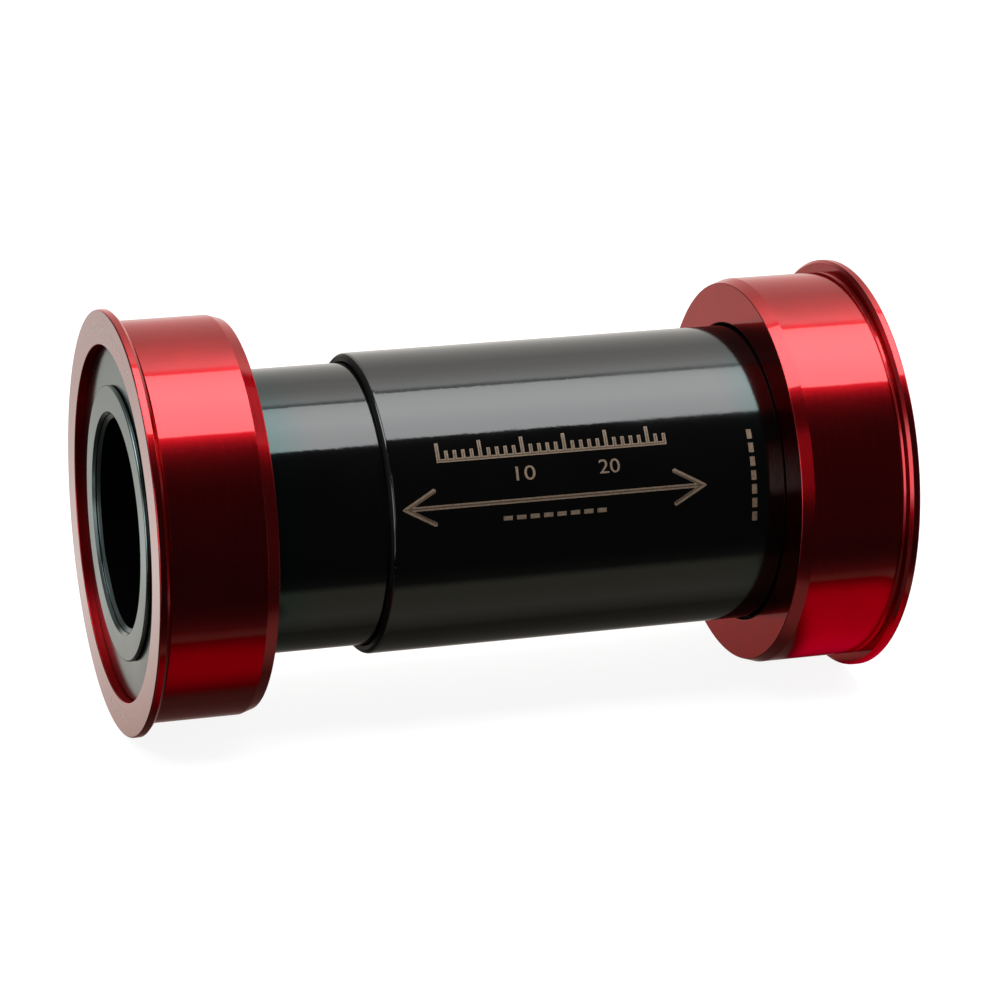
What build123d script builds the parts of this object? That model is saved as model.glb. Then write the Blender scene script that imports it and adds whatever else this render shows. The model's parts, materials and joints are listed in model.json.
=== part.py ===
"""Adjustable press-fit bottom bracket for a 46 mm bicycle shell and a 24 mm crank spindle.

Millimetres. +Y is the spindle's axis, towards the non-drive side, and +Z is up. The origin is the
middle of the bracket on that axis. Every profile is drawn as radius (X) against length (Y) on
Plane.XY and turned about the Y axis. On each side, lengths are depths below the flange's outer
face, and axial() turns a depth into a place along Y.
"""

from build123d import *
import os

os.makedirs("parts", exist_ok=True)

# Width between the flanges, as drawn. The sleeves let it be set from 79 to 92.
set_width = 86.9

# Cups
flange_thickness = 1.2
flange_radius = 24.45
flange_back_chamfer = 0.35
cup_radius = 23.0
cup_length = 13.9
lead_in_length = 1.45
lead_in_depth = 0.46
root_relief_width = 0.5
root_relief_depth = 0.22
edge_break = 0.15
counterbore_radius = 20.44
counterbore_depth = 2.3
shoulder_radius = 16.7
shoulder_thickness = 1.0
pocket_radius = 17.8
seal_groove_radius = 18.8
seal_groove_width = 1.4
seal_groove_from_mouth = 1.1

# Bearings, 25 x 37 x 7
bearing_bore_radius = 12.5
bearing_outer_radius = 18.5
bearing_width = 7.0
race_edge_break = 0.3
ball_pitch_radius = 15.5
ball_radius = 3.175 / 2
ball_count = 18
ball_clearance = 0.01
raceway_radius = 1.65
inner_land_radius = 14.4
outer_land_radius = 16.6
seal_thickness = 0.5
seal_inset = 0.4
seal_outer_radius = 17.25
seal_inner_radius = 14.5
seal_groove_clearance = 0.05
snap_lip_radius = 17.0
cage_inner_radius = 14.75
cage_outer_radius = 16.2
cage_open_side = 1.0
cage_rim_side = 2.3
cage_pocket_radius = 1.69

# Dust covers
cover_depth = 1.05
cover_bore_radius = 13.9
cover_web_depth = 1.95
cover_foot_radius = 18.8
cover_edge_radius = 0.3

# Spindle bushes
bush_face_depth = 0.46
bush_disc_radius = 15.79
bush_disc_thickness = 0.44
bush_hub_radius = 13.6
bush_bore_radius = 12.03
bush_overhang = 0.5
mouth_radius = 12.82
mouth_chamfer = 0.32
mouth_land = 0.22
mouth_throat_length = 0.27

# Sleeves
sleeve_radius = 17.5
outer_sleeve_bore_radius = 16.5
inner_sleeve_radius = 16.4
inner_sleeve_bore_radius = 15.15
sleeve_end_play = 0.3
sleeve_chamfer = 0.4
outer_sleeve_end_depth = 28.15
inner_sleeve_collar_length = 3.0
inner_sleeve_length = 42.0
telescope_groove_depth = 0.55
telescope_groove_width = 0.9
telescope_groove_from_end = 3.0
o_ring_clearance = 0.02

overall_length = set_width + 2 * flange_thickness
bearing_back_depth = counterbore_depth + bearing_width
pocket_floor_depth = bearing_back_depth + shoulder_thickness
sleeve_start_depth = pocket_floor_depth + sleeve_end_play
seal_groove_front = cup_length - seal_groove_from_mouth
seal_groove_back = seal_groove_front - seal_groove_width


def axial(side, depth):
    """Place along Y of a depth below one side's flange face: side is -1 or +1."""
    return side * (overall_length / 2 - depth)


def outline(side, corners):
    """Points in the profile's plane of (radius, depth) corners."""
    return [(radius, axial(side, depth)) for radius, depth in corners]


def save(piece, name):
    """Labels a finished piece and writes its STEP file."""
    piece.part.label = name
    export_step(piece.part, "parts/" + name + ".step")


def make_cup(side, name):
    """Red cup: thin flange, ground body with a tapered lead-in, bored in steps from both ends."""
    with BuildPart() as cup:
        with BuildSketch(Plane.XY):
            corners = outline(
                side,
                [
                    (counterbore_radius + edge_break, 0),
                    (flange_radius - edge_break, 0),
                    (flange_radius, edge_break),
                    (flange_radius, flange_thickness - flange_back_chamfer),
                    (flange_radius - flange_back_chamfer, flange_thickness),
                    (cup_radius, flange_thickness),
                    (cup_radius - root_relief_depth, flange_thickness + root_relief_width / 2),
                    (cup_radius, flange_thickness + root_relief_width),
                    (cup_radius, cup_length - lead_in_length),
                    (cup_radius - lead_in_depth, cup_length - edge_break / 2),
                    (cup_radius - lead_in_depth - edge_break / 2, cup_length),
                    (pocket_radius + edge_break, cup_length),
                    (pocket_radius, cup_length - edge_break),
                    (pocket_radius, seal_groove_front),
                    (seal_groove_radius, seal_groove_front),
                    (seal_groove_radius, seal_groove_back),
                    (pocket_radius, seal_groove_back),
                    (pocket_radius, pocket_floor_depth),
                    (shoulder_radius, pocket_floor_depth),
                    (shoulder_radius, bearing_back_depth),
                    (bearing_outer_radius, bearing_back_depth),
                    (bearing_outer_radius, counterbore_depth),
                    (counterbore_radius, counterbore_depth),
                    (counterbore_radius, edge_break),
                ],
            )
            with BuildLine():
                Polyline(*corners, close=True)
            make_face()
        revolve(axis=Axis.Y)
    save(cup, name)


def make_dust_cover(side, name):
    """Black cover pressed into the cup's mouth, with a foot that rests on the counterbore's step."""
    with BuildPart() as dust_cover:
        with BuildSketch(Plane.XY):
            corners = outline(
                side,
                [
                    (cover_bore_radius, cover_depth),
                    (counterbore_radius, cover_depth),
                    (counterbore_radius, counterbore_depth),
                    (cover_foot_radius, counterbore_depth),
                    (cover_foot_radius, cover_web_depth),
                    (cover_bore_radius, cover_web_depth),
                ],
            )
            with BuildLine():
                Polyline(*corners, close=True)
            make_face()
        revolve(axis=Axis.Y)
        front_edges = dust_cover.edges().filter_by_position(
            Axis.Y, axial(side, cover_depth) - 0.01, axial(side, cover_depth) + 0.01
        )
        fillet(front_edges.sort_by(SortBy.LENGTH)[-1], cover_edge_radius)
    save(dust_cover, name)


def make_spindle_bush(side, name):
    """Black top-hat bush that turns with the spindle: disc, hub and a tube in the inner race."""
    throat_radius = mouth_radius - mouth_chamfer
    throat_depth = bush_face_depth + mouth_chamfer
    disc_back_depth = bush_face_depth + bush_disc_thickness
    tail_depth = bearing_back_depth + bush_overhang
    with BuildPart() as spindle_bush:
        with BuildSketch(Plane.XY):
            corners = outline(
                side,
                [
                    (mouth_radius, bush_face_depth),
                    (bush_disc_radius - edge_break / 2, bush_face_depth),
                    (bush_disc_radius, bush_face_depth + edge_break / 2),
                    (bush_disc_radius, disc_back_depth),
                    (bush_hub_radius, disc_back_depth),
                    (bush_hub_radius, counterbore_depth),
                    (bearing_bore_radius, counterbore_depth),
                    (bearing_bore_radius, tail_depth - edge_break),
                    (bearing_bore_radius - edge_break, tail_depth),
                    (bush_bore_radius + edge_break, tail_depth),
                    (bush_bore_radius, tail_depth - edge_break),
                    (bush_bore_radius, throat_depth + mouth_land + mouth_throat_length),
                    (throat_radius, throat_depth + mouth_land),
                    (throat_radius, throat_depth),
                ],
            )
            with BuildLine():
                Polyline(*corners, close=True)
            make_face()
        revolve(axis=Axis.Y)
    save(spindle_bush, name)


def make_outer_race(side, name, middle_depth):
    """Outer race with a ball groove and a snap groove for each seal."""
    half_width = bearing_width / 2
    groove_outer = half_width - seal_inset + seal_groove_clearance
    groove_inner = half_width - seal_inset - seal_thickness - seal_groove_clearance
    groove_radius = seal_outer_radius + seal_groove_clearance
    raceway_centre = ball_pitch_radius + ball_radius + ball_clearance - raceway_radius
    with BuildPart() as outer_race:
        with BuildSketch(Plane.XY):
            corners = outline(
                side,
                [
                    (snap_lip_radius, middle_depth - half_width),
                    (bearing_outer_radius - race_edge_break, middle_depth - half_width),
                    (bearing_outer_radius, middle_depth - half_width + race_edge_break),
                    (bearing_outer_radius, middle_depth + half_width - race_edge_break),
                    (bearing_outer_radius - race_edge_break, middle_depth + half_width),
                    (snap_lip_radius, middle_depth + half_width),
                    (snap_lip_radius, middle_depth + groove_outer),
                    (groove_radius, middle_depth + groove_outer),
                    (groove_radius, middle_depth + groove_inner),
                    (outer_land_radius, middle_depth + groove_inner),
                    (outer_land_radius, middle_depth - groove_inner),
                    (groove_radius, middle_depth - groove_inner),
                    (groove_radius, middle_depth - groove_outer),
                    (snap_lip_radius, middle_depth - groove_outer),
                ],
            )
            with BuildLine():
                Polyline(*corners, close=True)
            make_face()
            with Locations((raceway_centre, axial(side, middle_depth))):
                Circle(raceway_radius, mode=Mode.SUBTRACT)
        revolve(axis=Axis.Y)
    save(outer_race, name)


def make_inner_race(side, name, middle_depth):
    """Inner race with a ball groove, pressed on the spindle bush."""
    half_width = bearing_width / 2
    raceway_centre = ball_pitch_radius - ball_radius - ball_clearance + raceway_radius
    with BuildPart() as inner_race:
        with BuildSketch(Plane.XY):
            corners = outline(
                side,
                [
                    (bearing_bore_radius + race_edge_break, middle_depth - half_width),
                    (inner_land_radius, middle_depth - half_width),
                    (inner_land_radius, middle_depth + half_width),
                    (bearing_bore_radius + race_edge_break, middle_depth + half_width),
                    (bearing_bore_radius, middle_depth + half_width - race_edge_break),
                    (bearing_bore_radius, middle_depth - half_width + race_edge_break),
                ],
            )
            with BuildLine():
                Polyline(*corners, close=True)
            make_face()
            with Locations((raceway_centre, axial(side, middle_depth))):
                Circle(raceway_radius, mode=Mode.SUBTRACT)
        revolve(axis=Axis.Y)
    save(inner_race, name)


def ball_plane(side, middle_depth):
    """Plane across the spindle's axis, through the middle of a bearing."""
    return Plane(origin=(0, axial(side, middle_depth), 0), x_dir=(1, 0, 0), z_dir=(0, 1, 0))


def make_balls(side, name, middle_depth):
    """One bearing's balls."""
    with BuildPart() as balls:
        with Locations(ball_plane(side, middle_depth)):
            with PolarLocations(ball_pitch_radius, ball_count):
                Sphere(ball_radius)
    save(balls, name)


def make_cage(side, name, middle_depth):
    """Snap-in crown cage: a ring whose ball pockets are open on the inboard side."""
    with BuildPart() as cage:
        with BuildSketch(Plane.XY):
            corners = outline(
                side,
                [
                    (cage_inner_radius, middle_depth - cage_rim_side),
                    (cage_outer_radius, middle_depth - cage_rim_side),
                    (cage_outer_radius, middle_depth + cage_open_side),
                    (cage_inner_radius, middle_depth + cage_open_side),
                ],
            )
            with BuildLine():
                Polyline(*corners, close=True)
            make_face()
        revolve(axis=Axis.Y)
        with Locations(ball_plane(side, middle_depth)):
            with PolarLocations(ball_pitch_radius, ball_count):
                Sphere(cage_pocket_radius, mode=Mode.SUBTRACT)
    save(cage, name)


def make_bearing_seal(side, name, face_depth):
    """Flat rubber seal, snapped into the outer race's groove, with its outboard face at a depth."""
    with BuildPart() as bearing_seal:
        with BuildSketch(Plane.XY):
            corners = outline(
                side,
                [
                    (seal_inner_radius, face_depth),
                    (seal_outer_radius, face_depth),
                    (seal_outer_radius, face_depth + seal_thickness),
                    (seal_inner_radius, face_depth + seal_thickness),
                ],
            )
            with BuildLine():
                Polyline(*corners, close=True)
            make_face()
        revolve(axis=Axis.Y)
    save(bearing_seal, name)


def make_o_ring(name, inside_radius, outside_radius, place):
    """Round-section ring between two radii, at a place along Y."""
    section_radius = (outside_radius - inside_radius) / 2 - o_ring_clearance
    with BuildPart() as o_ring:
        with BuildSketch(Plane.XY):
            with Locations(((inside_radius + outside_radius) / 2, place)):
                Circle(section_radius)
        revolve(axis=Axis.Y)
    save(o_ring, name)


# Both ends are the same set of parts, mirrored.
for side_name, side in (("drive", -1), ("nondrive", 1)):
    middle_depth = counterbore_depth + bearing_width / 2
    make_cup(side, side_name + "_cup")
    make_dust_cover(side, side_name + "_dust_cover")
    make_spindle_bush(side, side_name + "_spindle_bush")
    make_outer_race(side, side_name + "_bearing_outer_race", middle_depth)
    make_inner_race(side, side_name + "_bearing_inner_race", middle_depth)
    make_balls(side, side_name + "_bearing_balls", middle_depth)
    make_cage(side, side_name + "_bearing_cage", middle_depth)
    make_bearing_seal(
        side, side_name + "_bearing_outboard_seal", counterbore_depth + seal_inset
    )
    make_bearing_seal(
        side,
        side_name + "_bearing_inboard_seal",
        bearing_back_depth - seal_inset - seal_thickness,
    )
    make_o_ring(
        side_name + "_sleeve_o_ring",
        sleeve_radius,
        seal_groove_radius,
        axial(side, (seal_groove_front + seal_groove_back) / 2),
    )

# Outer sleeve: from the non-drive cup's pocket to a chamfered free end.
outer_sleeve_seat_y = axial(1, sleeve_start_depth)
outer_sleeve_free_y = axial(-1, outer_sleeve_end_depth)
with BuildPart() as outer_sleeve:
    with BuildSketch(Plane.XY):
        with BuildLine():
            Polyline(
                (outer_sleeve_bore_radius, outer_sleeve_seat_y),
                (sleeve_radius - sleeve_chamfer, outer_sleeve_seat_y),
                (sleeve_radius, outer_sleeve_seat_y - sleeve_chamfer),
                (sleeve_radius, outer_sleeve_free_y + sleeve_chamfer),
                (sleeve_radius - sleeve_chamfer, outer_sleeve_free_y),
                (outer_sleeve_bore_radius + edge_break, outer_sleeve_free_y),
                (outer_sleeve_bore_radius, outer_sleeve_free_y + edge_break),
                close=True,
            )
        make_face()
    revolve(axis=Axis.Y)
save(outer_sleeve, "outer_sleeve")

# Inner sleeve: a collar that fits the drive cup's pocket, then a tube that slides in the other
# sleeve, with a groove for its O-ring near the free end.
inner_sleeve_seat_y = axial(-1, sleeve_start_depth)
inner_sleeve_free_y = inner_sleeve_seat_y + inner_sleeve_length
collar_end_y = inner_sleeve_seat_y + inner_sleeve_collar_length
groove_far_y = inner_sleeve_free_y - telescope_groove_from_end
groove_near_y = groove_far_y - telescope_groove_width
telescope_groove_radius = inner_sleeve_radius - telescope_groove_depth
with BuildPart() as inner_sleeve:
    with BuildSketch(Plane.XY):
        with BuildLine():
            Polyline(
                (inner_sleeve_bore_radius, inner_sleeve_seat_y),
                (sleeve_radius - sleeve_chamfer, inner_sleeve_seat_y),
                (sleeve_radius, inner_sleeve_seat_y + sleeve_chamfer),
                (sleeve_radius, collar_end_y - edge_break),
                (sleeve_radius - edge_break, collar_end_y),
                (inner_sleeve_radius, collar_end_y),
                (inner_sleeve_radius, groove_near_y),
                (telescope_groove_radius, groove_near_y),
                (telescope_groove_radius, groove_far_y),
                (inner_sleeve_radius, groove_far_y),
                (inner_sleeve_radius, inner_sleeve_free_y - sleeve_chamfer),
                (inner_sleeve_radius - sleeve_chamfer, inner_sleeve_free_y),
                (inner_sleeve_bore_radius, inner_sleeve_free_y),
                close=True,
            )
        make_face()
    revolve(axis=Axis.Y)
save(inner_sleeve, "inner_sleeve")

make_o_ring(
    "telescope_o_ring",
    telescope_groove_radius,
    outer_sleeve_bore_radius,
    (groove_near_y + groove_far_y) / 2,
)
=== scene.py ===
"""Looks of the adjustable press-fit bottom bracket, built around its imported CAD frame.

The frame is in metres: +Y is the spindle's axis, towards the non-drive side, and +Z is up. Sizes
below are in millimetres, as in the CAD source, and MM turns them into metres. Turned pieces are
lathed from outlines of (radius, depth, corner rounding), where a depth is measured inwards from
that side's outer flange face.
"""

import json
import math

import bmesh
import bpy
from mathutils import Matrix, Vector


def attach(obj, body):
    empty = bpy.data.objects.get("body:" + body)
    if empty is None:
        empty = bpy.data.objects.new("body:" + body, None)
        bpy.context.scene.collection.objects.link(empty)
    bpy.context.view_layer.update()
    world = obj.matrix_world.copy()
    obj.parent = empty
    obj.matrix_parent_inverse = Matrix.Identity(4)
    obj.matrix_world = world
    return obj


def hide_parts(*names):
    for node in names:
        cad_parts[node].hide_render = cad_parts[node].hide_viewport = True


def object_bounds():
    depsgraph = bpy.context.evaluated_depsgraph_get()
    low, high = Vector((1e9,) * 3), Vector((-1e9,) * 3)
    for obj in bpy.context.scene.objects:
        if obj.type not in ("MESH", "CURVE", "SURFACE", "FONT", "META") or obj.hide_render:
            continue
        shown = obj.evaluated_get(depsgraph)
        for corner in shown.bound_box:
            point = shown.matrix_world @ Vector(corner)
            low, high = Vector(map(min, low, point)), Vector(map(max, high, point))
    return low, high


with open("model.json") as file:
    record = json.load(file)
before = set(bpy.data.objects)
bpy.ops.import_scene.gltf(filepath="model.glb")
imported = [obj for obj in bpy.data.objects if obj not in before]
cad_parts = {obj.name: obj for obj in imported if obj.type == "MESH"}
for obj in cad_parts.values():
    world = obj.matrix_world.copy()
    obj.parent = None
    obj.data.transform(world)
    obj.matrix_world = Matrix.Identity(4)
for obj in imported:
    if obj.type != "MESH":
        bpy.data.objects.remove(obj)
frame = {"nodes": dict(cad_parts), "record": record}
cad_low, cad_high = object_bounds()

MM = 0.001
LATHE_STEPS = 256
FINE_ROUND = 0.03
EDGE_ROUND = 0.12
WALL_MARGIN = 0.02
CLEAR, TEAL = (1, 1, 1, 1), (0.52, 1.0, 0.97, 1)

# Driving sizes of the visible pieces, the same as in the CAD source
half_length = cad_high.y / MM
flange_radius = cad_high.z / MM
flange_thickness = 1.2
flange_back_chamfer = 0.35
cup_radius = 23.0
cup_length = 13.9
lead_in_length = 1.45
lead_in_depth = 0.46
root_relief_width = 0.5
root_relief_depth = 0.22
counterbore_radius = 20.44
counterbore_depth = 2.3
bearing_outer_radius = 18.5
bearing_back_depth = 9.3
shoulder_radius = 16.7
pocket_floor_depth = 10.3
pocket_radius = 17.8
seal_groove_radius = 18.8
seal_groove_front = 12.8
seal_groove_back = 11.4
cover_depth = 1.05
cover_web_depth = 1.95
cover_bore_radius = 13.9
cover_foot_radius = 18.8
bush_face_depth = 0.46
bush_back_depth = 0.9
bush_disc_radius = 15.79
bush_hub_radius = 13.6
bush_tube_radius = 12.5
bush_bore_radius = 12.03
bush_tail_depth = 9.8
mouth_radius = 12.82
mouth_step_radius = 12.5
mouth_step_front = 0.78
mouth_step_back = 1.0
mouth_end_depth = 1.27
sleeve_radius = 17.5
sleeve_chamfer = 0.4
sleeve_start_depth = 10.6
outer_sleeve_bore_radius = 16.5
outer_sleeve_end_depth = 28.15
inner_sleeve_radius = 16.4
inner_sleeve_bore_radius = 15.15
inner_sleeve_length = 42.0
inner_sleeve_collar_length = 3.0
telescope_groove_radius = 15.85
telescope_groove_from_end = 3.0
telescope_groove_width = 0.9


# ---------------------------------------------------------------- node helpers


def add_node(tree, kind, inputs=None, **settings):
    """Adds a shader node. An input given as a socket is linked, and any other is set."""
    made = tree.nodes.new(kind)
    for name, value in settings.items():
        setattr(made, name, value)
    for name, value in (inputs or {}).items():
        if isinstance(value, bpy.types.NodeSocket):
            tree.links.new(value, made.inputs[name])
        else:
            made.inputs[name].default_value = value
    return made


def calc(tree, operation, first, second=0.0):
    """A Math node's result."""
    made = add_node(tree, "ShaderNodeMath", {0: first, 1: second}, operation=operation)
    return made.outputs[0]


def remap(tree, value, low, high, to_low, to_high, smooth=False):
    """Value moved from one range to another, and held at its ends."""
    made = add_node(
        tree,
        "ShaderNodeMapRange",
        {0: value, 1: low, 2: high, 3: to_low, 4: to_high},
        interpolation_type="SMOOTHSTEP" if smooth else "LINEAR",
    )
    return made.outputs[0]


def mix_colour(tree, share, first, second):
    """Colour between two colours."""
    made = add_node(tree, "ShaderNodeMix", {0: share, 6: first, 7: second}, data_type="RGBA")
    return made.outputs[2]


def start_material(name, **sockets):
    """A new material and its Principled shader, with the given sockets set by their labels."""
    material = bpy.data.materials.new(name)
    material.use_nodes = True
    shader = material.node_tree.nodes["Principled BSDF"]
    for label, value in sockets.items():
        shader.inputs[label.replace("_", " ")].default_value = value
    return material, material.node_tree, shader


def object_place(tree):
    """The surface point in the piece's own frame, in metres."""
    return add_node(tree, "ShaderNodeTexCoord").outputs["Object"]


def lathe_place(tree):
    """A length that changes across the tool marks of any turned surface: Y plus the radius."""
    split = add_node(tree, "ShaderNodeSeparateXYZ", {0: object_place(tree)})
    flat = add_node(
        tree, "ShaderNodeCombineXYZ", {"X": split.outputs["X"], "Z": split.outputs["Z"]}
    )
    radius = add_node(tree, "ShaderNodeVectorMath", {0: flat.outputs[0]}, operation="LENGTH")
    return calc(tree, "ADD", split.outputs["Y"], radius.outputs["Value"])


def line_noise(tree, period, detail=2.0):
    """Noise that runs in rings round the axis, as tool marks do. The period is in millimetres."""
    made = add_node(
        tree,
        "ShaderNodeTexNoise",
        {"W": lathe_place(tree), "Scale": 1 / (period * MM), "Detail": detail},
        noise_dimensions="1D",
    )
    return made.outputs["Fac"]


def cloud_noise(tree, size, detail=2.0):
    """Noise in all directions. The size is in millimetres."""
    made = add_node(
        tree,
        "ShaderNodeTexNoise",
        {"Vector": object_place(tree), "Scale": 1 / (size * MM), "Detail": detail},
    )
    return made.outputs["Fac"]


def bump(tree, height, depth, normal=None):
    """Normal of a surface with that height. The depth is in millimetres."""
    inputs = {"Height": height, "Distance": depth * MM, "Strength": 1.0}
    if normal is not None:
        inputs["Normal"] = normal
    return add_node(tree, "ShaderNodeBump", inputs).outputs["Normal"]


def edge_share(tree, low, high):
    """How much lighter an edge gets: the lathe's edge mark, broken up by noise. On the red pieces
    this is partly wear and partly a painted highlight.
    """
    mark = add_node(tree, "ShaderNodeAttribute", attribute_name="edge").outputs["Fac"]
    broken = calc(tree, "MULTIPLY", mark, cloud_noise(tree, 0.9, 4.0))
    return remap(tree, broken, low, high, 0.0, 1.0, smooth=True)


# ------------------------------------------------------------------- materials


def make_red_anodised(name, colours, roughness, mark_depth, **sockets):
    """Bright red dyed oxide on turned aluminium, under its own clear glossy surface."""
    material, tree, shader = start_material(name, Metallic=1.0, **sockets)
    dye = remap(tree, cloud_noise(tree, 6.0, 3.0), 0.3, 0.7, 0.0, 1.0)
    red = mix_colour(tree, dye, *colours)
    # Convex edges turn a lighter red: partly wear, partly a painted highlight.
    edge_lightened = mix_colour(tree, edge_share(tree, 0.45, 0.75), red, (0.62, 0.05, 0.06, 1))
    tree.links.new(edge_lightened, shader.inputs["Base Color"])
    rough = remap(tree, line_noise(tree, 0.35, 3.0), 0.3, 0.7, *roughness)
    tree.links.new(rough, shader.inputs["Roughness"])
    ripple = bump(tree, cloud_noise(tree, 0.6, 1.0), 0.0015)
    waves = bump(tree, cloud_noise(tree, 5.0, 1.0), 0.005, ripple)
    tool_marks = bump(tree, line_noise(tree, 0.18), mark_depth, waves)
    tree.links.new(tool_marks, shader.inputs["Normal"])
    tree.links.new(waves, shader.inputs["Coat Normal"])
    return material


def make_black_anodised(name, roughness, colour, index, wave_depth, mark_depth, film=None):
    """Black dyed oxide: nearly no colour of its own, with a clear reflection.

    The oxide's film tints the reflection. Without a colour for it, the film is clear in the
    middle of the object and teal towards both ends, and the +Y end is duller.
    """
    material, tree, shader = start_material(name, IOR=index)
    dye = remap(tree, cloud_noise(tree, 7.0, 3.0), 0.3, 0.7, 0.7, 1.3)
    tint = add_node(
        tree, "ShaderNodeVectorMath", {0: colour, 3: dye}, operation="SCALE"
    ).outputs[0]
    edge_lightened = mix_colour(tree, edge_share(tree, 0.5, 0.8), tint, (0.06, 0.06, 0.058, 1))
    tree.links.new(edge_lightened, shader.inputs["Base Color"])
    rough = remap(tree, cloud_noise(tree, 12.0, 2.0), 0.35, 0.65, roughness, roughness * 1.6)
    if film:
        shader.inputs["Specular Tint"].default_value = film
    else:
        along = add_node(tree, "ShaderNodeSeparateXYZ", {0: object_place(tree)}).outputs["Y"]
        from_middle = calc(tree, "ABSOLUTE", calc(tree, "SUBTRACT", along, 0.0005))
        teal = remap(tree, from_middle, 0.0235, 0.031, 0.0, 0.75, smooth=True)
        tinted = mix_colour(tree, teal, CLEAR, TEAL)
        tree.links.new(tinted, shader.inputs["Specular Tint"])
        rough = calc(tree, "MULTIPLY", rough, remap(tree, along, 0.0, 0.028, 1.0, 1.6))
    tree.links.new(rough, shader.inputs["Roughness"])
    ripple = bump(tree, cloud_noise(tree, 0.6, 1.0), wave_depth / 4)
    waves = bump(tree, cloud_noise(tree, 5.0, 1.0), wave_depth, ripple)
    tool_marks = bump(tree, line_noise(tree, 0.25), mark_depth, waves)
    tree.links.new(tool_marks, shader.inputs["Normal"])
    return material


def make_laser_mark(name, pale, dark, metallic):
    """Laser marking: burnt oxide, matt and slightly mottled."""
    material, tree, shader = start_material(name, IOR=1.4, Metallic=metallic)
    burn = remap(tree, cloud_noise(tree, 0.35, 3.0), 0.3, 0.7, 0.0, 1.0)
    tree.links.new(mix_colour(tree, burn, dark, pale), shader.inputs["Base Color"])
    tree.links.new(remap(tree, burn, 0.0, 1.0, 0.55, 0.4), shader.inputs["Roughness"])
    return material


def make_steel(name, colour, low_roughness, high_roughness, period):
    """Ground steel with fine marks round the axis."""
    material, tree, shader = start_material(name, Metallic=1.0)
    dark = tuple(0.8 * part for part in colour)
    stain = remap(tree, cloud_noise(tree, 3.0, 3.0), 0.3, 0.7, 0.0, 1.0)
    tree.links.new(
        mix_colour(tree, stain, (*dark, 1), (*colour, 1)), shader.inputs["Base Color"]
    )
    marks = line_noise(tree, period, 3.0)
    rough = remap(tree, marks, 0.3, 0.7, low_roughness, high_roughness)
    tree.links.new(rough, shader.inputs["Roughness"])
    tree.links.new(bump(tree, marks, 0.0008), shader.inputs["Normal"])
    return material


def make_moulded(name, colour, roughness, grain, grain_depth):
    """Moulded rubber or nylon: fine grain and a little shade from place to place."""
    material, tree, shader = start_material(name, IOR=1.5)
    dark = tuple(0.75 * part for part in colour)
    shade = remap(tree, cloud_noise(tree, 2.0, 3.0), 0.3, 0.7, 0.0, 1.0)
    tree.links.new(
        mix_colour(tree, shade, (*dark, 1), (*colour, 1)), shader.inputs["Base Color"]
    )
    fine = cloud_noise(tree, grain, 2.0)
    rough = remap(tree, fine, 0.3, 0.7, roughness * 0.85, roughness * 1.15)
    tree.links.new(rough, shader.inputs["Roughness"])
    tree.links.new(bump(tree, fine, grain_depth), shader.inputs["Normal"])
    return material


red_anodised = make_red_anodised(
    "red_anodised_aluminium",
    ((0.28, 0.003, 0.006, 1), (0.33, 0.004, 0.008, 1)),
    (0.22, 0.25),
    0.00025,
    Specular_Tint=(1.0, 0.25, 0.25, 1),
    Coat_Weight=0.7,
    Coat_Roughness=0.05,
    Coat_IOR=1.5,
)
red_face = make_red_anodised(
    "red_anodised_flange_face",
    ((0.26, 0.0015, 0.006, 1), (0.31, 0.002, 0.009, 1)),
    (0.2, 0.26),
    0.0012,
    Coat_Weight=0.95,
    Coat_Roughness=0.05,
    Coat_IOR=1.55,
)
# Darker copy of the red for the counterbore walls: its darker base is painted shade in the recess,
# and its thin, rough coat dulls it.
red_recess_painted_shade = make_red_anodised(
    "red_anodised_recess_painted_shade",
    ((0.2, 0.002, 0.004, 1), (0.25, 0.003, 0.006, 1)),
    (0.36, 0.42),
    0.0008,
    Specular_Tint=(1.0, 0.25, 0.25, 1),
    Coat_Weight=0.08,
    Coat_Roughness=0.25,
    Coat_IOR=1.5,
)
sleeve_black = make_black_anodised(
    "black_anodised_sleeve", 0.05, (0.0012, 0.0012, 0.0013), 1.54, 0.012, 0.0001
)
cover_black = make_black_anodised(
    "black_anodised_cover",
    0.13,
    (0.0025, 0.003, 0.003),
    2.6,
    0.003,
    0.0004,
    film=(0.76, 1.0, 0.985, 1),
)
sawn_black = make_black_anodised(
    "black_anodised_end",
    0.35,
    (0.0012, 0.0012, 0.0013),
    1.2,
    0.003,
    0.001,
    film=CLEAR,
)
tan_mark = make_laser_mark(
    "laser_mark_tan", (0.25, 0.18, 0.125, 1), (0.16, 0.115, 0.08, 1), 0.2
)
core_mark = make_laser_mark(
    "laser_mark_core", (0.1, 0.068, 0.045, 1), (0.055, 0.037, 0.025, 1), 0.2
)
pale_mark = make_laser_mark(
    "laser_mark_pale", (0.97, 0.93, 0.9, 1), (0.85, 0.78, 0.74, 1), 1.0
)
carried_over = {
    "bearing_steel": make_steel("ground_bearing_steel", (0.6, 0.6, 0.62), 0.16, 0.28, 0.2),
    "polished_balls": make_steel("polished_ball_steel", (0.8, 0.8, 0.82), 0.03, 0.06, 1.5),
    "cage_nylon": make_moulded("cage_nylon", (0.75, 0.7, 0.58), 0.45, 0.15, 0.004),
    "seal_rubber": make_moulded("seal_rubber", (0.02, 0.02, 0.02), 0.5, 0.2, 0.006),
}


# ---------------------------------------------------------------- turned pieces


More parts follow.
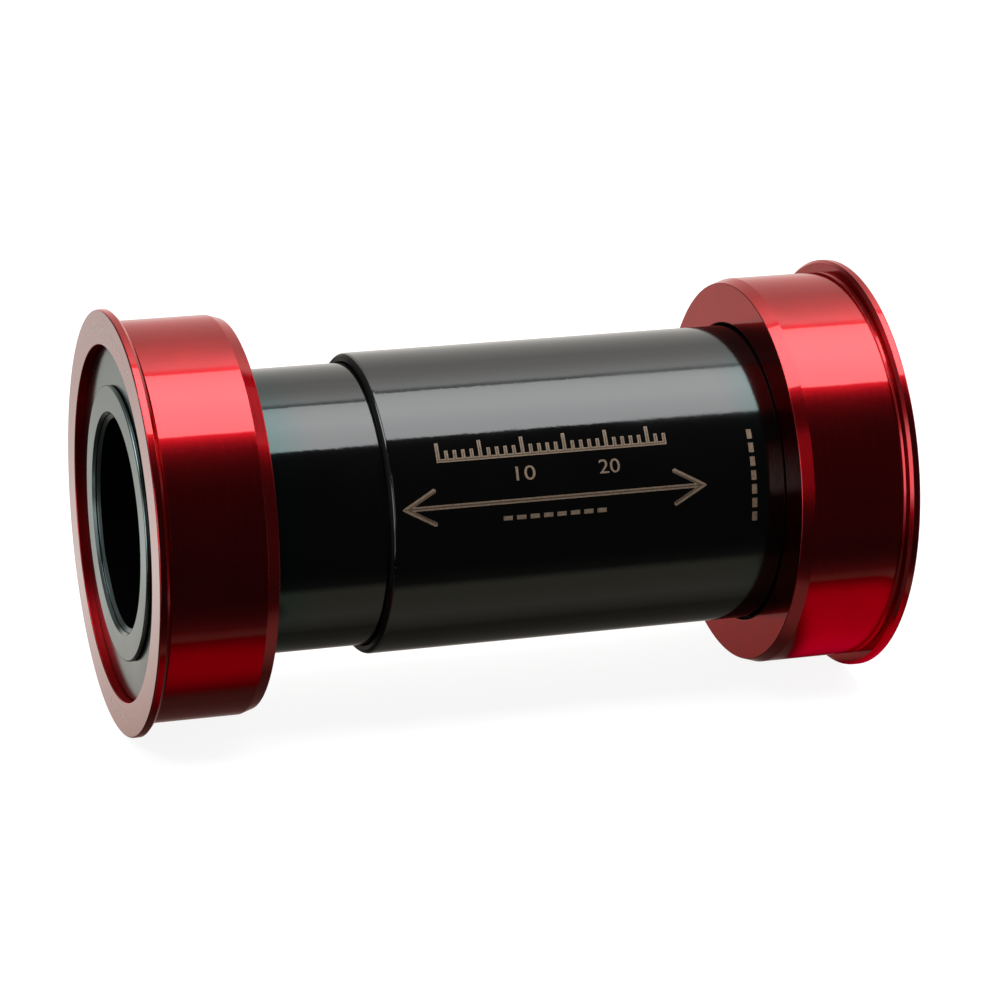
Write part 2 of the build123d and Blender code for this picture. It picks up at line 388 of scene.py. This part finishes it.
def rounded_outline(corners):
    """Points, normals and edge marks of a closed outline, with every corner rounded.

    Each corner is (radius, place along Y, rounding). The points run with the metal on their left.
    """
    area = sum(
        a[0] * b[1] - b[0] * a[1] for a, b in zip(corners, corners[1:] + corners[:1])
    )
    if area < 0:
        corners = corners[::-1]
    rows = []
    for k, (radius, place, rounding) in enumerate(corners):
        corner = Vector((radius, place))
        before = Vector(corners[k - 1][:2])
        after = Vector(corners[(k + 1) % len(corners)][:2])
        along_in = (corner - before).normalized()
        along_out = (after - corner).normalized()
        turn = math.atan2(along_in.cross(along_out), along_in.dot(along_out))
        longest = 0.45 * min((corner - before).length, (after - corner).length)
        cut = min(rounding * math.tan(abs(turn) / 2), longest)
        arc_radius = cut / max(math.tan(abs(turn) / 2), 1e-6)
        bulge = 1.0 if turn > 0 else -1.0
        normal_in = Vector((along_in.y, -along_in.x))
        centre = corner - along_in * cut - normal_in * arc_radius * bulge
        steps = 6 if rounding > FINE_ROUND else 4
        for step in range(steps + 1):
            angle = turn * step / steps
            normal = Vector(
                (
                    normal_in.x * math.cos(angle) - normal_in.y * math.sin(angle),
                    normal_in.x * math.sin(angle) + normal_in.y * math.cos(angle),
                )
            )
            point = centre + normal * arc_radius * bulge
            mark = math.sin(math.pi * step / steps) if bulge > 0 and abs(turn) > 0.3 else 0.0
            rows.append((point, normal, mark))
    return rows


def new_piece(name, mesh, material):
    """An object in the scene with one material."""
    mesh.materials.append(material)
    piece = bpy.data.objects.new(name, mesh)
    bpy.context.scene.collection.objects.link(piece)
    return piece


def lathe(name, corners, material):
    """A ring turned about the Y axis, with exact smooth normals and an "edge" mark for lighter
    edges, partly wear and partly a painted highlight.
    """
    rows = rounded_outline(corners)
    vertices, normals, marks = [], [], []
    for point, normal, mark in rows:
        for step in range(LATHE_STEPS):
            angle = 2 * math.pi * step / LATHE_STEPS
            c, s = math.cos(angle), math.sin(angle)
            vertices.append((point.x * c * MM, point.y * MM, point.x * s * MM))
            normals.append((normal.x * c, normal.y, normal.x * s))
            marks.append(mark)
    faces = []
    for row in range(len(rows)):
        here = row * LATHE_STEPS
        there = (row + 1) % len(rows) * LATHE_STEPS
        for step in range(LATHE_STEPS):
            after = (step + 1) % LATHE_STEPS
            faces.append((here + step, there + step, there + after, here + after))
    mesh = bpy.data.meshes.new(name)
    mesh.from_pydata(vertices, [], faces)
    mesh.attributes.new("edge", "FLOAT", "POINT").data.foreach_set("value", marks)
    mesh.shade_smooth()
    mesh.normals_split_custom_set_from_vertices(normals)
    return new_piece(name, mesh, material)


def on_side(side, corners):
    """Outline corners with each depth turned into a place along Y."""
    return [(radius, side * (half_length - depth), turn) for radius, depth, turn in corners]


def cup_corners(recess):
    """Cup: flange, relief at its root, ground body, lead-in, and the bores from both ends."""
    flange_back = flange_thickness - flange_back_chamfer
    return [
        (counterbore_radius, recess, 0.15),
        (flange_radius, recess, 0.2),
        (flange_radius, flange_back, 0.06),
        (flange_radius - flange_back_chamfer, flange_thickness, 0.05),
        (cup_radius, flange_thickness, FINE_ROUND),
        (cup_radius - root_relief_depth, flange_thickness + root_relief_width / 2, 0.08),
        (cup_radius, flange_thickness + root_relief_width, FINE_ROUND),
        (cup_radius, cup_length - lead_in_length, 0.2),
        (cup_radius - lead_in_depth, cup_length, EDGE_ROUND),
        (pocket_radius, cup_length, EDGE_ROUND),
        (pocket_radius, seal_groove_front, FINE_ROUND),
        (seal_groove_radius, seal_groove_front, 0.1),
        (seal_groove_radius, seal_groove_back, 0.1),
        (pocket_radius, seal_groove_back, FINE_ROUND),
        (pocket_radius, pocket_floor_depth, FINE_ROUND),
        (shoulder_radius, pocket_floor_depth, EDGE_ROUND),
        (shoulder_radius, bearing_back_depth, FINE_ROUND),
        (bearing_outer_radius, bearing_back_depth, FINE_ROUND),
        (bearing_outer_radius, counterbore_depth, FINE_ROUND),
        (counterbore_radius, counterbore_depth, FINE_ROUND),
    ]


def cover_corners():
    """Dust cover: flat ring with a foot behind its rim."""
    return [
        (cover_bore_radius, cover_depth, 0.08),
        (counterbore_radius - 0.01, cover_depth, 0.3),
        (counterbore_radius - 0.01, counterbore_depth, FINE_ROUND),
        (cover_foot_radius, counterbore_depth, FINE_ROUND),
        (cover_foot_radius, cover_web_depth, FINE_ROUND),
        (cover_bore_radius, cover_web_depth, FINE_ROUND),
    ]


def bush_corners():
    """Spindle bush: thin disc, hub, tube, and a stepped mouth that guides the spindle in."""
    return [
        (mouth_radius, bush_face_depth, 0.06),
        (bush_disc_radius, bush_face_depth, 0.35),
        (bush_disc_radius, bush_back_depth, 0.05),
        (bush_hub_radius, bush_back_depth, FINE_ROUND),
        (bush_hub_radius, counterbore_depth, FINE_ROUND),
        (bush_tube_radius, counterbore_depth, FINE_ROUND),
        (bush_tube_radius, bush_tail_depth, EDGE_ROUND),
        (bush_bore_radius, bush_tail_depth, EDGE_ROUND),
        (bush_bore_radius, mouth_end_depth, 0.05),
        (mouth_step_radius, mouth_step_back, FINE_ROUND),
        (mouth_step_radius, mouth_step_front, FINE_ROUND),
    ]


def outer_sleeve_corners():
    """Outer sleeve, from the non-drive cup's pocket to its chamfered free end."""
    seat = half_length - sleeve_start_depth
    free = outer_sleeve_end_depth - half_length
    return [
        (outer_sleeve_bore_radius, seat, 0.1),
        (sleeve_radius - sleeve_chamfer, seat, 0.08),
        (sleeve_radius, seat - sleeve_chamfer, 0.08),
        (sleeve_radius, free + sleeve_chamfer, 0.6),
        (sleeve_radius - sleeve_chamfer, free, 0.2),
        (outer_sleeve_bore_radius, free, 0.15),
    ]


def inner_sleeve_corners():
    """Inner sleeve: a collar in the drive cup's pocket, a tube, and an O-ring groove."""
    seat = sleeve_start_depth - half_length
    free = seat + inner_sleeve_length
    collar_end = seat + inner_sleeve_collar_length
    groove_far = free - telescope_groove_from_end
    groove_near = groove_far - telescope_groove_width
    return [
        (inner_sleeve_bore_radius, seat, 0.1),
        (sleeve_radius - sleeve_chamfer, seat, 0.08),
        (sleeve_radius, seat + sleeve_chamfer, 0.08),
        (sleeve_radius, collar_end, EDGE_ROUND),
        (inner_sleeve_radius, collar_end, 0.1),
        (inner_sleeve_radius, groove_near, FINE_ROUND),
        (telescope_groove_radius, groove_near, FINE_ROUND),
        (telescope_groove_radius, groove_far, FINE_ROUND),
        (inner_sleeve_radius, groove_far, FINE_ROUND),
        (inner_sleeve_radius, free - sleeve_chamfer, 0.1),
        (inner_sleeve_radius - sleeve_chamfer, free, 0.08),
        (inner_sleeve_bore_radius, free, 0.1),
    ]


def place_piece(piece, body, node=None):
    """Makes a piece move with a body, and hides the CAD node that it stands for."""
    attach(piece, body)
    if node:
        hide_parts(node)


# How far a mark stands proud of what it lies on. The flange face is set back by as much.
mark_height = 0.006
for side_name, side in (("drive", -1), ("nondrive", 1)):
    cup = lathe(side_name + "_cup_turned", on_side(side, cup_corners(mark_height)), red_anodised)
    cup.data.materials.append(red_face)
    cup.data.materials.append(red_recess_painted_shade)
    for face in cup.data.polygons:
        depth = half_length - abs(face.center.y) / MM
        if face.normal.y * side > 0.9 and depth < 0.1:
            face.material_index = 1
        elif math.hypot(face.center.x, face.center.z) / MM < counterbore_radius + WALL_MARGIN:
            # Counterbore walls take the darker red: painted shade in the recess.
            face.material_index = 2 if depth < counterbore_depth else 0
    place_piece(cup, side_name + "_side", side_name + "_cup")
    cover = lathe(side_name + "_cover_turned", on_side(side, cover_corners()), cover_black)
    place_piece(cover, side_name + "_side", side_name + "_dust_cover")
    bush = lathe(side_name + "_bush_turned", on_side(side, bush_corners()), cover_black)
    bush.data.materials.append(sleeve_black)
    for face in bush.data.polygons:
        if math.hypot(face.center.x, face.center.z) / MM < bush_bore_radius + WALL_MARGIN:
            face.material_index = 1
    place_piece(bush, side_name + "_rotor", side_name + "_spindle_bush")

for name, corners in (
    ("outer_sleeve", outer_sleeve_corners()),
    ("inner_sleeve", inner_sleeve_corners()),
):
    sleeve = lathe(name + "_turned", corners, sleeve_black)
    sleeve.data.materials.append(sawn_black)
    for face in sleeve.data.polygons:
        if abs(face.normal.y) > 0.6:
            face.material_index = 1
    place_piece(sleeve, name, name)

for row in frame["record"]["subparts"]:
    node = frame["nodes"][row["node"]]
    if row["material_slot"] in carried_over:
        for material_slot in node.material_slots:
            material_slot.material = carried_over[row["material_slot"]]


# ------------------------------------------------------------------------ marks


def flat_shape(outline):
    """A bmesh with one flat face, from (across, up) points in millimetres."""
    shape = bmesh.new()
    shape.faces.new([shape.verts.new((u, v, 0)) for u, v in outline])
    return shape


def flat_text(words, width, height):
    """A bmesh of flat digits, fitted to a width and to the height of the first one."""
    curve = bpy.data.curves.new(words, "FONT")
    curve.body = words
    curve.resolution_u = 4
    writer = bpy.data.objects.new(words, curve)
    bpy.context.scene.collection.objects.link(writer)
    bpy.context.view_layer.update()
    mesh = bpy.data.meshes.new_from_object(
        writer.evaluated_get(bpy.context.evaluated_depsgraph_get())
    )
    bpy.data.objects.remove(writer)
    shape = bmesh.new()
    shape.from_mesh(mesh)
    bmesh.ops.remove_doubles(shape, verts=shape.verts, dist=1e-5)
    left = min(v.co.x for v in shape.verts)
    right = max(v.co.x for v in shape.verts)
    first_letter = [v.co.y for v in shape.verts if v.co.x < left + 0.3]
    capital = max(first_letter) - min(first_letter)
    for v in shape.verts:
        v.co = (
            (v.co.x - left) * width / (right - left),
            (v.co.y - min(first_letter)) * height / capital,
            0,
        )
    return shape


def finish_mark(name, shape, cut_direction, put, material, body, top=mark_height):
    """Turns a flat shape into a thin closed solid laid on a surface by put(u, v, height)."""
    shape.normal_update()
    bmesh.ops.triangulate(shape, faces=shape.faces, ngon_method="EAR_CLIP")
    low = min(cut_direction.dot(v.co) for v in shape.verts)
    high = max(cut_direction.dot(v.co) for v in shape.verts)
    spacing = 0.3
    for k in range(1, int((high - low) / spacing) + 1):
        bmesh.ops.bisect_plane(
            shape,
            geom=shape.verts[:] + shape.edges[:] + shape.faces[:],
            plane_co=cut_direction * (low + k * spacing),
            plane_no=cut_direction,
        )
    for face in shape.faces:
        if face.normal.z < 0:
            face.normal_flip()
    raised = bmesh.ops.extrude_face_region(shape, geom=shape.faces[:])["geom"]
    for part in raised:
        if isinstance(part, bmesh.types.BMVert):
            part.co.z = 1
    for v in shape.verts:
        v.co = put(v.co.x, v.co.y, top if v.co.z > 0.5 else -3 * mark_height) * MM
    bmesh.ops.recalc_face_normals(shape, faces=shape.faces)
    mesh = bpy.data.meshes.new(name)
    shape.to_mesh(mesh)
    shape.free()
    place_piece(new_piece(name, mesh, material), body)


def on_sleeve(start_y, start_arc, upright=False):
    """Lays (across, up) round the outer sleeve, from a place along Y and one round the arc."""

    def put(u, v, height):
        y, arc = (start_y - v, start_arc + u) if upright else (start_y + u, start_arc + v)
        angle = arc / sleeve_radius
        radius = sleeve_radius + height
        return Vector((radius * math.cos(angle), y, radius * math.sin(angle)))

    return put


def mark_sleeve(name, shape, start_y, start_arc, upright=False, core=False):
    """A tan laser mark on the outer sleeve, or the darker core of one."""
    finish_mark(
        name,
        shape,
        Vector((1, 0, 0)) if upright else Vector((0, 1, 0)),
        on_sleeve(start_y, start_arc, upright),
        core_mark if core else tan_mark,
        "outer_sleeve",
        mark_height * (1.5 if core else 1.0),
    )


def arrow_outline(half_span, barb_length, barb_angle, half_stroke, tip_length):
    """Outline of a line with an open arrowhead at both ends, centred on the origin."""
    along = Vector((math.cos(barb_angle), math.sin(barb_angle)))
    out = Vector((-along.y, along.x))
    tip = Vector((tip_length - half_span, 0))
    meet = (half_stroke + half_stroke * along.x) / along.y
    upper_left = [
        Vector((-half_span, 0.06)),
        tip + out * half_stroke,
        tip + along * barb_length + out * half_stroke,
        tip + along * (barb_length + 0.15),
        tip + along * barb_length - out * half_stroke,
        tip + along * meet - out * half_stroke,
    ]
    upper = upper_left + [Vector((-p.x, p.y)) for p in reversed(upper_left)]
    return [tuple(p) for p in upper] + [(p.x, -p.y) for p in reversed(upper)]


def scale_outline(length, base, short, tall, stroke):
    """Outline of a ruler's graduations: a base line with a stroke each millimetre."""
    points = [(-stroke / 2, 0), (length + stroke / 2, 0)]
    for k in range(int(length), -1, -1):
        top = tall if k % 5 == 0 else short
        points += [(k + stroke / 2, top), (k - stroke / 2, top)]
        if k:
            points += [(k - stroke / 2, base), (k - 1 + stroke / 2, base)]
    return points


def dash_row(count, pitch, length, height):
    """A bmesh of a row of equal flat dashes."""
    shape = bmesh.new()
    for k in range(count):
        left, right = k * pitch, k * pitch + length
        corners = [(left, 0), (right, 0), (right, height), (left, height)]
        shape.faces.new([shape.verts.new((u, v, 0)) for u, v in corners])
    return shape


scale_start, scale_length = -10.4, 27
scale = scale_outline(scale_length, 0.4, 1.35, 2.3, 0.42)
mark_sleeve("width_scale", flat_shape(scale), scale_start, 8.65)
scale_core = scale_outline(scale_length, 0.16, 1.11, 2.06, 0.14)
mark_sleeve("width_scale_core", flat_shape(scale_core), scale_start, 8.77, core=True)
for number, width in ((10, 2.3), (20, 2.5)):
    digits = flat_text(str(number), width, 1.6)
    mark_sleeve(f"scale_number_{number}", digits, number + scale_start - width / 2, 5.9)
arrow_middle, arrow_arc, barb_angle = 2.98, 3.63, math.radians(29)
arrow = arrow_outline(18.1, 4.0, barb_angle, 0.25, 0.35)
mark_sleeve("width_arrow", flat_shape(arrow), arrow_middle, arrow_arc)
arrow_core = arrow_outline(17.85, 3.65, barb_angle, 0.09, 0.35)
mark_sleeve("width_arrow_core", flat_shape(arrow_core), arrow_middle, arrow_arc, core=True)
mark_sleeve("width_dashes", dash_row(8, 1.6, 1.1, 0.5), -3.4, 1.5)
mark_sleeve("cup_end_dashes", dash_row(7, 1.6, 1.1, 0.6), 27.25, -1.1, upright=True)


def mark_flange(name, from_degrees, to_degrees):
    """A row of pale dashes round the drive cup's flange face, like degree marks."""
    shape = bmesh.new()
    spacing = 2.5
    for k in range(int((to_degrees - from_degrees) / spacing) + 1):
        middle = from_degrees + k * spacing
        inner = 21.9 if k % 4 else 21.5
        corners = [(middle - 0.22, inner), (middle + 0.22, inner)]
        corners += [(middle + 0.22, 22.9), (middle - 0.22, 22.9)]
        shape.faces.new([shape.verts.new((a, r, 0)) for a, r in corners])

    def put(degrees, radius, height):
        angle = math.radians(degrees)
        y = -half_length + mark_height - height
        return Vector((radius * math.cos(angle), y, radius * math.sin(angle)))

    finish_mark(
        name, shape, Vector((0, 1, 0)), put, pale_mark, "drive_side"
    )


mark_flange("flange_marks_top", 62, 118)
mark_flange("flange_marks_bottom", -98, -74)


# --------------------------------------------------------- camera, light, floor


camera_data = bpy.data.cameras.new("camera")
camera_data.lens = 137.1
camera_data.sensor_width = 36.0
camera_data.clip_start = 0.01
camera_data.clip_end = 20.0
camera = bpy.data.objects.new("camera", camera_data)
bpy.context.scene.collection.objects.link(camera)
camera_right = Vector((0.3067, 0.9518, 0.0)).normalized()
camera_back = Vector((0.9172, -0.2955, 0.2672)).normalized()
camera_up = camera_back.cross(camera_right)
turn = Matrix((camera_right, camera_up, camera_back)).transposed().to_4x4()
camera.matrix_world = Matrix.Translation(Vector((410.2, -130.4, 118.4)) * MM) @ turn
bpy.context.scene.camera = camera
bpy.context.scene.view_settings.view_transform = "Standard"

# Studio light by direction, as degrees round the Y axis from +X towards +Z: a dark front, one
# large softbox overhead, a white wall behind, and a dim table. Each row is degrees and brightness.
WHITE = 1.15
studio_rows = [
    (-180, (0.95, 0.9, 0.85)),
    (-170, (0.75, 0.7, 0.66)),
    (-166, (0.72, 0.67, 0.62)),
    (-163, (1.08, 1.04, 0.99)),
    (-160.5, (0.55, 0.43, 0.36)),
    (-150, (0.22, 0.2, 0.18)),
    (-140, (0.1, 0.095, 0.085)),
    (-118, (0.07, 0.067, 0.057)),
    (-104, (0.075, 0.07, 0.057)),
    (-93, (0.19, 0.18, 0.145)),
    (-83, (0.3, 0.29, 0.24)),
    (-58, (0.33, 0.32, 0.25)),
    (-52, (0.06, 0.06, 0.055)),
    (-40, (0.025, 0.025, 0.025)),
    (30, (0.025, 0.025, 0.025)),
    (55, (0.04, 0.04, 0.042)),
    (61, (0.07, 0.07, 0.075)),
    (105.5, (0.95, 0.97, 1.0)),
    (107.5, (0.95, 0.97, 1.0)),
    (109, (2.4, 2.42, 2.4)),
    (112, (2.3, 2.3, 2.27)),
    (118, (1.75, 1.73, 1.68)),
    (125, (1.3, 1.27, 1.22)),
    (136, (0.92, 0.9, 0.86)),
    (150, (0.88, 0.86, 0.82)),
    (172, (0.95, 0.92, 0.87)),
    (180, (1.0, 0.96, 0.9)),
]
softbox_rows = [
    (60, (5.7, 5.8, 5.85)),
    (70, (5.8, 5.9, 5.95)),
    (85, (6.3, 6.35, 6.4)),
    (95, (5.7, 5.8, 5.8)),
    (101, (5.0, 5.1, 5.1)),
    (106, (4.2, 4.3, 4.3)),
]


def light_ramp(tree, degrees, rows):
    """Light that changes along rows of (degrees, colour), which may be brighter than 1."""
    first, last = rows[0][0], rows[-1][0]
    brightest = max(max(colour) for _, colour in rows)
    share = remap(tree, degrees, first, last, 0.0, 1.0)
    ramp = add_node(tree, "ShaderNodeValToRGB", {0: share})
    stops = ramp.color_ramp.elements
    stops.remove(stops[1])
    for k, (place, colour) in enumerate(rows):
        position = (place - first) / (last - first)
        stop = stops[0] if k == 0 else stops.new(position)
        stop.position = position
        stop.color = (*(part / brightest for part in colour), 1)
    scaled = add_node(
        tree, "ShaderNodeVectorMath", {0: ramp.outputs[0], 3: brightest}, operation="SCALE"
    )
    return scaled.outputs[0]


def between(tree, value, low, high, blur):
    """Share that is 1 between two values and falls to 0 outside, over twice the blur."""
    rise = remap(tree, value, low - blur, low + blur, 0.0, 1.0, smooth=True)
    fall = remap(tree, value, high - blur, high + blur, 1.0, 0.0, smooth=True)
    return calc(tree, "MULTIPLY", rise, fall)


def product(tree, first, *others):
    """Shares multiplied together."""
    for other in others:
        first = calc(tree, "MULTIPLY", first, other)
    return first


def lay_light(tree, colour, brightness, *spans):
    """Colour with an even grey light over it, where each (value, low, high, blur) holds."""
    share = product(tree, *(between(tree, *span) for span in spans))
    return mix_colour(tree, share, colour, (brightness, brightness, brightness, 1))


def make_studio():
    """World light: the studio rows round the Y axis, a softbox overhead and a strip in front."""
    world = bpy.data.worlds.new("studio")
    bpy.context.scene.world = world
    world.use_nodes = True
    tree = world.node_tree
    tree.nodes.clear()
    direction = add_node(tree, "ShaderNodeTexCoord").outputs["Generated"]
    split = add_node(tree, "ShaderNodeSeparateXYZ", {0: direction})
    x, y, z = (split.outputs[axis] for axis in "XYZ")
    degrees = calc(tree, "MULTIPLY", calc(tree, "ARCTAN2", z, x), 180 / math.pi)
    colour = light_ramp(tree, degrees, studio_rows)

    # The wall ends towards -Y, and the table is dimmer there
    above_table = product(
        tree,
        remap(tree, y, -0.12, -0.38, 0.0, 0.88, smooth=True),
        remap(tree, z, -0.18, -0.06, 0.0, 1.0, smooth=True),
    )
    on_table = product(
        tree,
        remap(tree, y, -0.27, -0.34, 0.0, 0.6, smooth=True),
        remap(tree, z, -0.23, -0.29, 0.0, 1.0, smooth=True),
    )
    wall_end = calc(tree, "MAXIMUM", above_table, on_table)
    colour = mix_colour(tree, wall_end, colour, (0.0, 0.0, 0.0, 1))

    # Past the wall's end the room is dim, and the far side towards +Y is dark above the table
    colour = lay_light(tree, colour, 0.22, (y, -2, -0.5, 0.1), (z, -0.1, 2, 0.05))
    colour = lay_light(
        tree, colour, 0.04, (y, 0.52, 2, 0.07), (x, -0.36, 2, 0.06), (z, -0.62, 2, 0.12)
    )

    # Lights in front on the -Y side, one on the +Y side, and a glow beyond both ends
    ahead = calc(tree, "MAXIMUM", x, 0.01)
    aside, above = calc(tree, "DIVIDE", y, ahead), calc(tree, "DIVIDE", z, ahead)
    front = (x, 0.02, 2, 0.02)
    colour = lay_light(tree, colour, 3.0, (aside, -4, -0.8, 0.1), (z, -0.18, 0.3, 0.08), front)
    colour = lay_light(
        tree, colour, 1.0, (x, 0.5, 2, 0.05), (y, -2, -0.5, 0.05), (z, -0.42, -0.14, 0.04)
    )
    colour = lay_light(
        tree, colour, 3.5, (aside, -0.4, -0.31, 0.03), (above, -0.05, 0.7, 0.08), front
    )
    colour = lay_light(
        tree, colour, 0.9, (aside, 0.7, 0.84, 0.04), (above, -0.6, 0.6, 0.05), front
    )
    to_end = calc(tree, "ABSOLUTE", y)
    colour = lay_light(
        tree, colour, 0.8, (x, -0.13, 0.13, 0.03), (z, -0.45, 0.3, 0.05), (to_end, 0.8, 2, 0.05)
    )

    # Softboxes in a row overhead, by the slope of Y from straight up, and a dim gap
    slope = calc(tree, "DIVIDE", y, calc(tree, "MAXIMUM", z, 0.01))
    overhead = between(tree, degrees, 62.3, 105.0, 0.4)
    colour = lay_light(tree, colour, 0.3, (degrees, 62.3, 105.0, 0.4), (slope, 0.7, 1.25, 0.02))
    lengths = between(tree, slope, -0.3, 0.75, 0.025)
    for low, high in ((-1.08, -0.55), (1.22, 2.3)):
        lengths = calc(tree, "MAXIMUM", lengths, between(tree, slope, low, high, 0.025))
    inside = product(tree, overhead, lengths)
    colour = mix_colour(tree, inside, colour, light_ramp(tree, degrees, softbox_rows))

    lit = add_node(tree, "ShaderNodeBackground", {"Color": colour, "Strength": 1.0})
    seen = add_node(
        tree, "ShaderNodeBackground", {"Color": (WHITE, WHITE, WHITE, 1), "Strength": 1.0}
    )
    to_camera = add_node(tree, "ShaderNodeLightPath").outputs["Is Camera Ray"]
    both = add_node(
        tree, "ShaderNodeMixShader", {0: to_camera, 1: lit.outputs[0], 2: seen.outputs[0]}
    )
    out = add_node(tree, "ShaderNodeOutputWorld")
    tree.links.new(both.outputs[0], out.inputs["Surface"])
    world.cycles.sampling_method = "MANUAL"
    world.cycles.sample_map_resolution = 2048


def make_floor():
    """Plain pale floor that the flanges stand on. It shades softly and isn't mirrored."""
    size = 9.0
    mesh = bpy.data.meshes.new("floor")
    level = cad_low.z - 0.00002
    corners = [(-size, -size), (size, -size), (size, size), (-size, size)]
    mesh.from_pydata([(x, y, level) for x, y in corners], [], [(0, 1, 2, 3)])
    material, _, shader = start_material(
        "pale_floor",
        Base_Color=(0.2, 0.2, 0.2, 1),
        Roughness=0.9,
        Emission_Color=(1, 1, 1, 1),
        Emission_Strength=0.9,
    )
    shader.inputs["Specular IOR Level"].default_value = 0.0
    floor = new_piece("floor", mesh, material)
    floor.visible_glossy = False
    floor.visible_diffuse = False
    floor.visible_shadow = False


def make_bounce_card():
    """A red card that only near reflections show, in place of the cups' light on the table."""
    mesh = bpy.data.meshes.new("bounce_card")
    level = cad_low.z - 0.00004
    reach = 0.07
    corners = [(-reach, -reach), (reach, -reach), (reach, reach), (-reach, reach)]
    mesh.from_pydata([(x, y, level) for x, y in corners], [], [(0, 1, 2, 3)])
    material = bpy.data.materials.new("red_bounce")
    material.use_nodes = True
    tree = material.node_tree
    tree.nodes.clear()
    split = add_node(tree, "ShaderNodeSeparateXYZ", {0: object_place(tree)})
    across, along = split.outputs["X"], split.outputs["Y"]
    near = remap(tree, across, 0.013, 0.022, 0.0, 1.0, smooth=True)
    nearer = remap(tree, across, 0.0, 0.012, 0.0, 1.0, smooth=True)
    left = product(tree, between(tree, along, -0.043, -0.026, 0.003), near, 0.5)
    right = product(tree, between(tree, along, 0.0372, 0.05, 0.0015), nearer, 0.8)
    far = remap(tree, across, 0.026, 0.034, 1.0, 0.0, smooth=True)
    travelled = add_node(tree, "ShaderNodeLightPath").outputs["Ray Length"]
    close = remap(tree, travelled, 0.019, 0.026, 1.0, 0.0, smooth=True)
    strength = product(tree, calc(tree, "ADD", left, right), far)
    present = calc(tree, "MINIMUM", product(tree, strength, 8.0, close), 1.0)
    clear = add_node(tree, "ShaderNodeBsdfTransparent")
    red = add_node(
        tree, "ShaderNodeEmission", {"Color": (1.0, 0.0, 0.09, 1), "Strength": strength}
    )
    mixed = add_node(
        tree, "ShaderNodeMixShader", {0: present, 1: clear.outputs[0], 2: red.outputs[0]}
    )
    out = add_node(tree, "ShaderNodeOutputMaterial")
    tree.links.new(mixed.outputs[0], out.inputs["Surface"])
    card = new_piece("bounce_card", mesh, material)
    card.visible_camera = False
    card.visible_diffuse = False
    card.visible_shadow = False


make_studio()
make_floor()
make_bounce_card()
